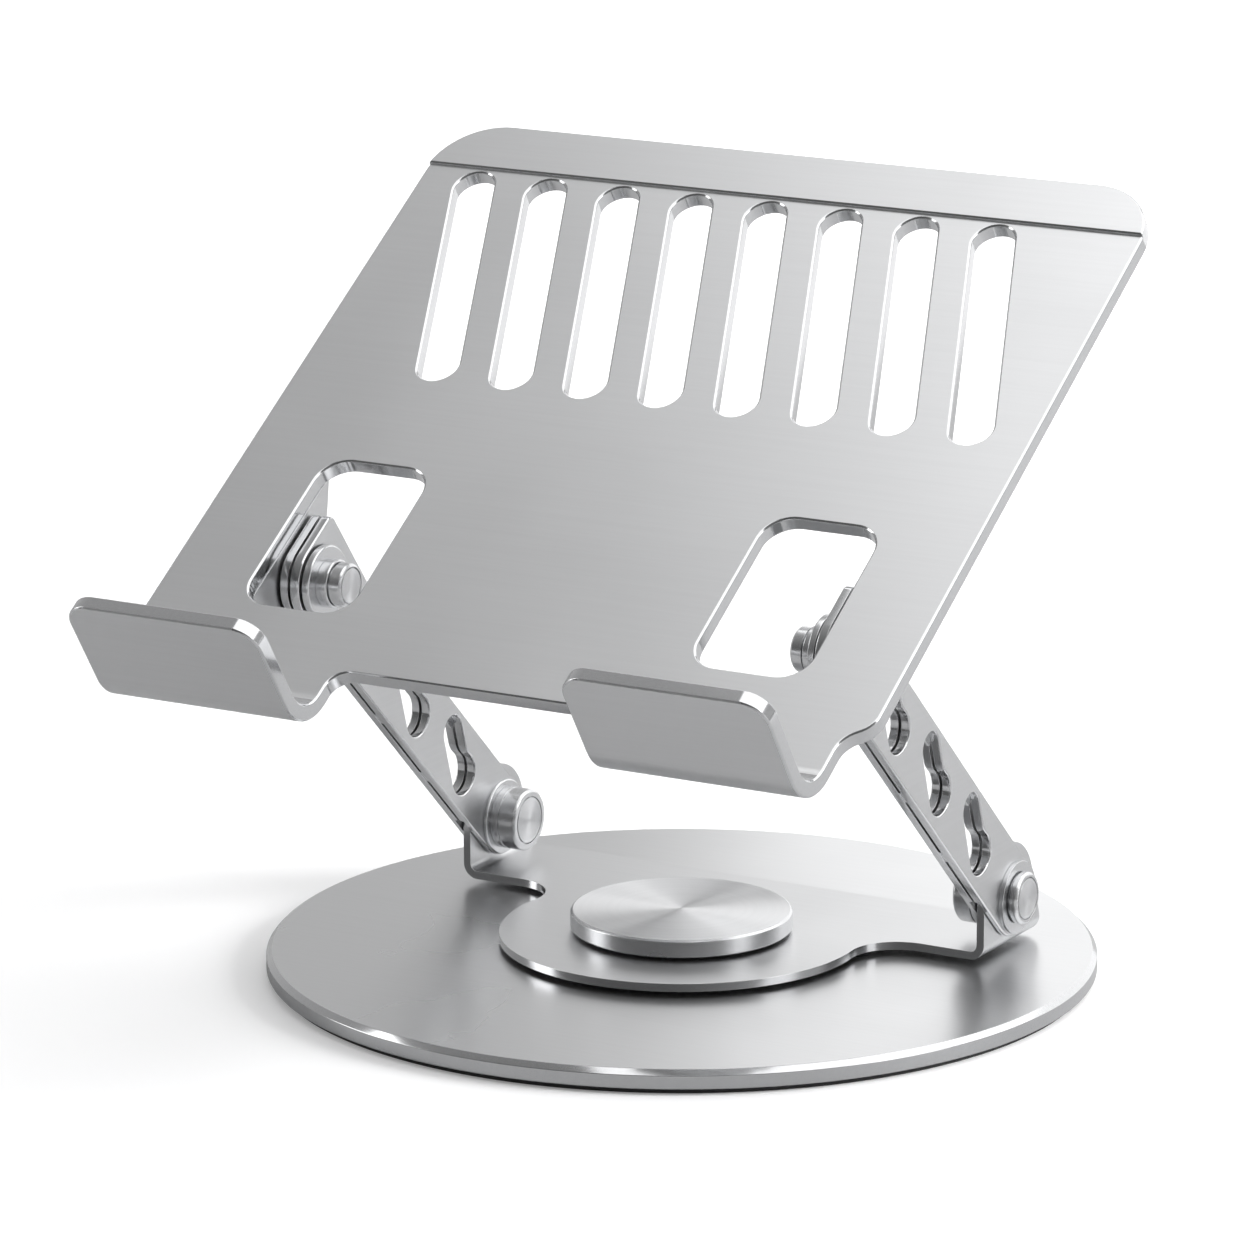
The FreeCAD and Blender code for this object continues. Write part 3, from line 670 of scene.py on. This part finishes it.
class STAND_OT_centre_cap(bpy.types.Operator):
    """Turns the cap over the pivot, and finishes the slip washers"""
    bl_idname = "stand.centre_cap"
    bl_label = "Centre cap"

    def execute(self, context):
        sizes = context.scene.stand_sizes
        low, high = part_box("centre_cap")
        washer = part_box("upper_slip_washer")[1]
        bottom = washer.z + CAP_CLEARANCE
        boss = washer.x * BOSS_SHARE
        radius = high.x
        bevel = sizes.cap_bevel
        stations = [(low.z, boss), (bottom, boss), (bottom, radius - bevel), (bottom + bevel, radius),
                    (high.z - bevel, radius), (high.z, radius - bevel)]
        stations += [(high.z, radius * share) for share in CAP_TOP_RINGS]
        cap = lathe("centre_cap_turned", MIDDLE, UP, stations, sizes.base_steps // 2)
        eased(cap, sizes.turned_round)
        two_finishes(cap, "spun_cap", "turned_metal", is_top(high))
        fitted(cap, "base", "centre_cap")
        painted("lower_slip_washer", "black_plastic")
        painted("upper_slip_washer", "black_plastic")
        return {"FINISHED"}


class STAND_OT_bracket(bpy.types.Operator):
    """Finishes the bracket that turns on the base"""
    bl_idname = "stand.bracket"
    bl_label = "Swivel bracket"

    def execute(self, context):
        bracket = cleaned_copy("swivel_bracket_sheet", "swivel_bracket")
        eased(bracket, context.scene.stand_sizes.edge_round)
        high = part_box("swivel_bracket")[1]
        lip = high.z - LIP_BAND

        def is_skin(face):
            place, normal = face.center, face.normal
            if abs(normal.x) > SHEET_FACING and abs(place.x) > high.x - EAR_FACE_BAND:
                return True
            if place.z >= lip:
                return False
            in_bend = abs(normal.y) < EDGE_FACING and abs(place.x) > high.x - EAR_BEND_BAND
            return abs(normal.z) > SHEET_FACING or in_bend

        two_finishes(bracket, "satin_sheet", "polished_edge", is_skin)
        fitted(bracket, "swivel", "swivel_bracket")
        return {"FINISHED"}


class STAND_OT_arms(bpy.types.Operator):
    """Finishes the plates and spacers of both arms"""
    bl_idname = "stand.arms"
    bl_label = "Folding arms"

    def execute(self, context):
        width = context.scene.stand_sizes.edge_round
        for side in SIDES:
            for layer in ("inner", "outer"):
                node = side + "_arm_" + layer + "_plate"
                plate = cleaned_copy(node + "_sheet", node)
                eased(plate, width)
                two_finishes(plate, "satin_arm", "polished_edge", is_plate_skin)
                fitted(plate, side + "_arm", node)
            painted(side + "_arm_spacers", "turned_metal")
        return {"FINISHED"}


class STAND_OT_hinge_hardware(bpy.types.Operator):
    """Finishes the bolts, nuts, hubs and washers of the four hinges"""
    bl_idname = "stand.hinge_hardware"
    bl_label = "Hinge hardware"

    def execute(self, context):
        width = context.scene.stand_sizes.turned_round
        metal = ("lower_bolt", "lower_cap_nut", "lower_hub", "lower_inner_washer", "lower_outer_washer",
                 "upper_bolt", "upper_cap_nut", "upper_sleeve", "upper_large_washer",
                 "upper_outer_washer")
        plastic = ("lower_friction_washers", "upper_thin_washer", "upper_ear_washer")
        for side in SIDES:
            for part in metal:
                node = side + "_" + part
                piece = cleaned_copy(node + "_turned", node)
                eased(piece, width)
                piece.data.materials.append(bpy.data.materials["turned_metal"])
                fitted(piece, side + "_arm", node)
            for part in plastic:
                painted(side + "_" + part, "black_plastic")
            painted(side + "_upper_gap_ring", "turned_metal")
        return {"FINISHED"}


def disc_radius(node, centre, end):
    """The radius of the disc at one end, along X, of a node that holds two."""
    return max(Vector((0, vertex.co.y - centre.y, vertex.co.z - centre.z)).length
               for vertex in frame["nodes"][node].data.vertices if abs(vertex.co.x - end) < NEAR_FACE)


class STAND_OT_inlaid_discs(bpy.types.Operator):
    """Turns the discs that are let into the ends of the bolts and nuts"""
    bl_idname = "stand.inlaid_discs"
    bl_label = "Inlaid discs"

    def execute(self, context):
        sizes = context.scene.stand_sizes
        for side in SIDES:
            for level, centre in (("lower", LOWER_HINGE), ("upper", UPPER_HINGE)):
                node = side + "_" + level + "_trim_discs"
                low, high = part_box(node)
                for number, (end, way) in enumerate(((low.x, -1), (high.x, 1))):
                    radius = disc_radius(node, centre, end)
                    start = Vector((end, centre.y, centre.z))
                    disc = lathe(node + "_" + str(number), start, ACROSS * way,
                                 disc_stations(radius, sizes), sizes.disc_steps)
                    eased(disc, sizes.disc_dish * DISC_EASE)
                    disc.data.materials.append(bpy.data.materials["spun_" + level + "_disc"])
                    fitted(disc, side + "_arm", node)
        return {"FINISHED"}


def disc_stations(radius, sizes):
    """A disc's outline: a raised rim round a face that lies one dish lower."""
    dish = sizes.disc_dish
    rim_outer = radius - dish
    rim_inner = rim_outer - RIM_DISHES * dish
    stations = [(-sizes.disc_thickness, radius), (-dish, radius), (0, rim_outer), (0, rim_inner),
                (-dish, rim_inner - dish)]
    return stations + [(-dish, radius * share) for share in DISC_TOP_RINGS]


class STAND_OT_tray(bpy.types.Operator):
    """Finishes the tray and the ears that carry it"""
    bl_idname = "stand.tray"
    bl_label = "Laptop tray"

    def execute(self, context):
        width = context.scene.stand_sizes.edge_round
        tray = cleaned_copy("laptop_tray_sheet", "laptop_tray")
        eased(tray, width)
        two_finishes(tray, "satin_sheet", "polished_edge", is_tray_skin)
        fitted(tray, "tray", "laptop_tray")
        for side in SIDES:
            node = side + "_tray_ear"
            ear = cleaned_copy(node + "_plate", node)
            eased(ear, width)
            two_finishes(ear, "satin_arm", "polished_edge", is_plate_skin)
            fitted(ear, "tray", node)
        return {"FINISHED"}


def tray_normal():
    """The direction out of the tray's front, read from its largest flat."""
    faces = frame["nodes"]["laptop_tray"].data.polygons
    normal = max(faces, key=lambda face: face.area).normal.copy()
    return normal if normal.z > 0 else -normal


TRAY_OUT = tray_normal()
TRAY_UP = ACROSS.cross(-TRAY_OUT).normalized()


def is_tray_skin(face):
    """True on the flats and bends of the sheet, false on its cut edges and chamfers."""
    if abs(face.normal.x) > CHAMFER_LEAN:
        return False
    place = face.center - UPPER_HINGE
    out = place.dot(TRAY_OUT)
    facing = abs(face.normal.dot(TRAY_OUT))
    if place.dot(TRAY_UP) > HOOKS_BELOW and out < FLAT_FRONT:
        return facing > SKIN_FACING
    return facing < SKIN_FACING or out < LIP_FRONT


# Studio


class STAND_OT_studio(bpy.types.Operator):
    """Sets the floor, the soft boxes and the camera"""
    bl_idname = "stand.studio"
    bl_label = "Studio"

    def execute(self, context):
        studio = context.scene.stand_studio
        make_floor(tuple(studio.floor_colour))
        make_world()
        lights = {}
        for name, place, size, setting, share in SOFT_BOXES:
            lights[name] = soft_box(name, Vector(place), size, getattr(studio, setting) * share)
        lights["back_box"].visible_camera = False
        lights["back_box"].visible_diffuse = False
        lights["shadow_box"].visible_glossy = False
        make_camera(studio)
        context.scene.view_settings.view_transform = "Standard"
        return {"FINISHED"}


def make_floor(colour):
    """A wide pale floor. In the metal's reflections its colour is painted darker, as painted shade, and
    it glows more towards the back.
    """
    nothing_selected()
    bpy.ops.mesh.primitive_plane_add(size=FLOOR_SIZE, location=MIDDLE)
    floor = bpy.context.active_object
    floor.name = "floor"
    nodes, links, shader = new_material("pale_floor")
    place = nodes.new("ShaderNodeTexCoord")
    grain = noise(nodes, FLOOR_GRAIN, 3.0)
    links.new(place.outputs["Object"], grain.inputs["Vector"])
    pale = mixed_colour(nodes, links, grain.outputs["Fac"], shade(colour, FLOOR_MOTTLE), colour)
    # Painted shade: in glossy rays the floor takes a darker colour, so the metal mirrors a shaded floor
    seen = nodes.new("ShaderNodeLightPath")
    pick = nodes.new("ShaderNodeMix")
    pick.data_type = "RGBA"
    pick.inputs["B"].default_value = (*shade(colour, FLOOR_PAINTED_SHADE_IN_METAL), 1)
    links.new(seen.outputs["Is Glossy Ray"], pick.inputs["Factor"])
    links.new(pale, pick.inputs["A"])
    links.new(pick.outputs["Result"], shader.inputs["Base Color"])
    shader.inputs["Roughness"].default_value = FLOOR_ROUGHNESS
    split = nodes.new("ShaderNodeSeparateXYZ")
    links.new(place.outputs["Object"], split.inputs["Vector"])
    lift = remap(nodes, GLOW_NEAR, GLOW_FAR, 0.0, GLOW_DEPTH)
    links.new(split.outputs["Y"], lift.inputs["Value"])
    glow = nodes.new("ShaderNodeMath")
    glow.operation = "MULTIPLY"
    links.new(seen.outputs["Is Camera Ray"], glow.inputs[0])
    links.new(lift.outputs["Result"], glow.inputs[1])
    shader.inputs["Emission Color"].default_value = (1, 1, 1, 1)
    links.new(glow.outputs["Value"], shader.inputs["Emission Strength"])
    floor.data.materials.append(bpy.data.materials["pale_floor"])


def make_world():
    """A white backdrop. What the metal mirrors of it runs from dim in front to bright behind."""
    world = bpy.data.worlds.new("studio_surround")
    bpy.context.scene.world = world
    world.use_nodes = True
    nodes, links = world.node_tree.nodes, world.node_tree.links
    place = nodes.new("ShaderNodeTexCoord")
    split = nodes.new("ShaderNodeSeparateXYZ")
    links.new(place.outputs["Generated"], split.inputs["Vector"])
    ramp = nodes.new("ShaderNodeMapRange")
    ramp.inputs["From Min"].default_value = WORLD_FRONT
    ramp.inputs["From Max"].default_value = WORLD_BACK
    ramp.inputs["To Min"].default_value = WORLD_DIM
    ramp.inputs["To Max"].default_value = WORLD_BRIGHT
    links.new(split.outputs["Y"], ramp.inputs["Value"])
    seen = nodes.new("ShaderNodeLightPath")
    pick = nodes.new("ShaderNodeMix")
    pick.inputs["B"].default_value = WORLD_BACKDROP
    links.new(seen.outputs["Is Camera Ray"], pick.inputs["Factor"])
    links.new(ramp.outputs["Result"], pick.inputs["A"])
    background = nodes["Background"]
    background.inputs["Color"].default_value = (1, 1, 1, 1)
    links.new(pick.outputs["Result"], background.inputs["Strength"])


def soft_box(name, place, size, power):
    """A rectangular light that faces the stand."""
    lamp = bpy.data.lights.new(name, "AREA")
    lamp.shape = "RECTANGLE"
    lamp.size, lamp.size_y = size
    lamp.energy = power
    light = bpy.data.objects.new(name, lamp)
    light.location = place
    light.rotation_euler = (LIGHT_AIM - place).to_track_quat("-Z", "Y").to_euler()
    bpy.context.scene.collection.objects.link(light)
    return light


def make_camera(studio):
    """The camera, in front of the stand and to its right."""
    lens = bpy.data.cameras.new("camera")
    lens.sensor_width = SENSOR_WIDTH
    lens.lens = studio.lens
    lens.clip_end = CLIP_END
    camera = bpy.data.objects.new("camera", lens)
    level = math.cos(studio.elevation)
    back = Vector((math.sin(studio.azimuth) * level, -math.cos(studio.azimuth) * level,
                   math.sin(studio.elevation)))
    camera.location = Vector(studio.aim) + back * studio.distance
    camera.rotation_mode = "QUATERNION"
    camera.rotation_quaternion = (-back).to_track_quat("-Z", "Y") @ Quaternion(UP, studio.roll)
    bpy.context.scene.collection.objects.link(camera)
    bpy.context.scene.camera = camera


# Add-on


class STAND_PT_panel(bpy.types.Panel):
    """Lists the stand's pieces and settings"""
    bl_idname = "STAND_PT_panel"
    bl_label = "Laptop Stand"
    bl_space_type = "VIEW_3D"
    bl_region_type = "UI"
    bl_category = "Laptop Stand"

    def draw(self, context):
        scene = context.scene
        for step in STEPS:
            self.layout.operator(step.bl_idname)
        for settings in (scene.stand_sizes, scene.stand_finishes, scene.stand_studio):
            column = self.layout.column()
            for name in settings.__annotations__:
                column.prop(settings, name)


STEPS = (STAND_OT_finishes, STAND_OT_base, STAND_OT_centre_cap, STAND_OT_bracket, STAND_OT_arms,
         STAND_OT_hinge_hardware, STAND_OT_inlaid_discs, STAND_OT_tray, STAND_OT_studio)
CLASSES = (StandSizes, StandFinishes, StandStudio, *STEPS, STAND_PT_panel)


def register():
    for made in CLASSES:
        bpy.utils.register_class(made)
    bpy.types.Scene.stand_sizes = bpy.props.PointerProperty(type=StandSizes)
    bpy.types.Scene.stand_finishes = bpy.props.PointerProperty(type=StandFinishes)
    bpy.types.Scene.stand_studio = bpy.props.PointerProperty(type=StandStudio)


def unregister():
    del bpy.types.Scene.stand_studio
    del bpy.types.Scene.stand_finishes
    del bpy.types.Scene.stand_sizes
    for made in reversed(CLASSES):
        bpy.utils.unregister_class(made)


def main():
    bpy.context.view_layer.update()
    register()
    bpy.ops.stand.finishes()
    bpy.ops.stand.base()
    bpy.ops.stand.centre_cap()
    bpy.ops.stand.bracket()
    bpy.ops.stand.arms()
    bpy.ops.stand.hinge_hardware()
    bpy.ops.stand.inlaid_discs()
    bpy.ops.stand.tray()
    bpy.ops.stand.studio()


if __name__ == "__main__":
    main()
